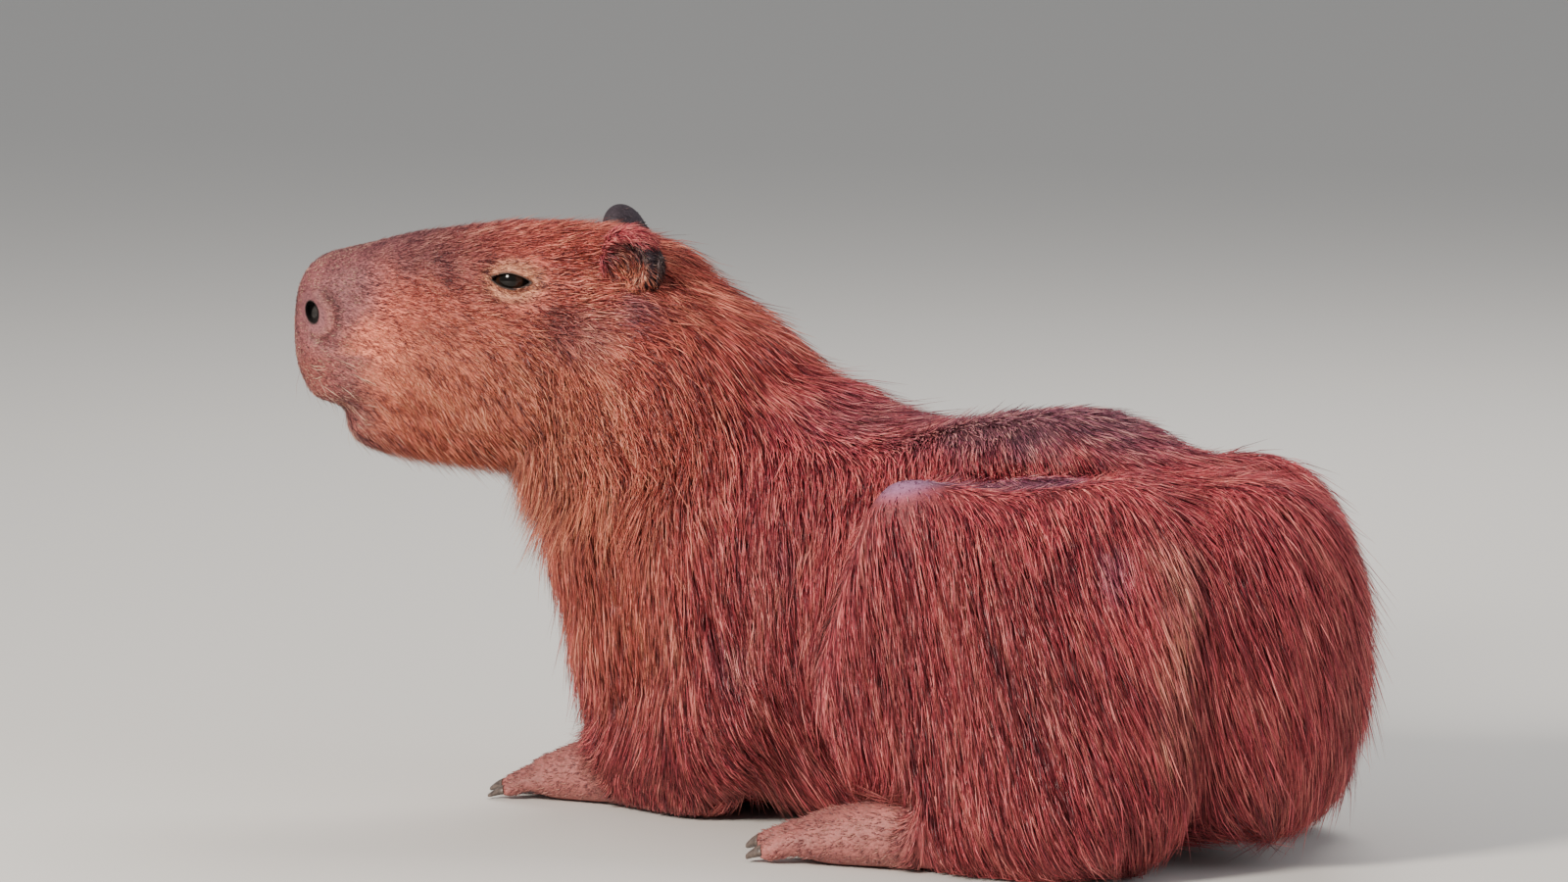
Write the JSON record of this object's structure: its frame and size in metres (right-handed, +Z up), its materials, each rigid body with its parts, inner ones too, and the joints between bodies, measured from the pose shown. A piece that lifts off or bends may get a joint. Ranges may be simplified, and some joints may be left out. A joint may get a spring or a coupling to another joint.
{
  "type": "capybara model",
  "caption": "Life-size museum model of a resting capybara, lying on its belly with its head raised and turned left.",
  "frame": {"origin": "under the middle of the model's box, on the floor", "axes": "+Z up, the trunk lies along X and faces -X, the animal's left side is -Y"},
  "size_m": [0.817, 0.429, 0.4154],
  "materials": {
    "coat": "coarse reddish brown bristly hair in flat tapered locks",
    "foot_skin": "bare, dull grey-pink skin, finely creased",
    "ear": "thin dark skin with very short hair",
    "eye": "wet, glossy dark brown",
    "claw": "dull dark horn"
  },
  "bodies": {
    "root": {"head": "coat", "neck": "coat", "torso": "coat", "haunch_left": "coat", "haunch_right": "coat", "foreleg_left": "coat", "foreleg_right": "coat", "ear_left": "ear", "ear_right": "ear", "eye_left": "eye", "eye_right": "eye", "hind_foot_left": "foot_skin", "hind_foot_right": "foot_skin", "fore_foot_left": "foot_skin", "fore_foot_right": "foot_skin", "claw_hind_left_1": "claw", "claw_hind_left_2": "claw", "claw_hind_left_3": "claw", "claw_hind_right_1": "claw", "claw_hind_right_2": "claw", "claw_hind_right_3": "claw", "claw_fore_left_1": "claw", "claw_fore_left_2": "claw", "claw_fore_left_3": "claw", "claw_fore_left_4": "claw", "claw_fore_right_1": "claw", "claw_fore_right_2": "claw", "claw_fore_right_3": "claw", "claw_fore_right_4": "claw"}
  },
  "joints": []
}
